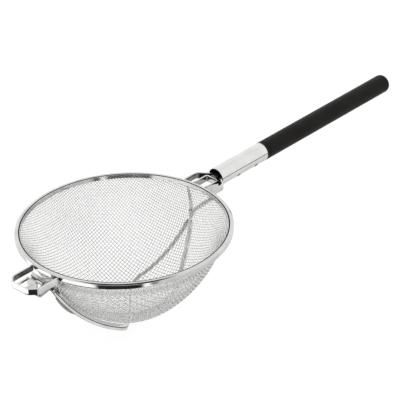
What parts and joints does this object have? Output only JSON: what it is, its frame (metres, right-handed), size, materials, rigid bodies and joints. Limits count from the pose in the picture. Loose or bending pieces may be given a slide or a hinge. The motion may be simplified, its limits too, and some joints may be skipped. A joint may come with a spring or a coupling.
{
  "type": "wire-mesh strainer",
  "caption": "Round kitchen strainer with a deep woven-wire bowl in a folded steel rim, crossing support straps under it, a front loop with a pot hook, and a long black grip on a steel ferrule.",
  "frame": {"origin": "on the flat foot under the bowl's axis, where the support straps cross", "axes": "+Z along the bowl's axis towards its mouth, +X from the bowl along the handle towards the grip's end"},
  "size_m": [0.6641, 0.26, 0.1376],
  "materials": {
    "polished_steel": "polished stainless steel",
    "strip_steel": "bright rolled strip",
    "wire_steel": "bright drawn wire",
    "ferrule_steel": "satin rolled sheet",
    "plain_steel": "plain",
    "black_plastic": "satin black"
  },
  "bodies": {
    "root": {"rim_band": "polished_steel", "rim_hoop": "plain_steel", "wire_mesh_bowl": "wire_steel", "support_strap_left": "strip_steel", "support_strap_right": "strip_steel", "front_loop": "polished_steel", "pot_hook": "polished_steel", "hook_brace_left": "polished_steel", "hook_brace_right": "polished_steel", "handle_yoke_left": "strip_steel", "handle_yoke_right": "strip_steel", "rim_stirrup": "polished_steel", "handle_tang": "plain_steel", "ferrule": "ferrule_steel", "ferrule_rivet_front": "plain_steel", "ferrule_rivet_rear": "plain_steel", "grip": "black_plastic"}
  },
  "joints": []
}
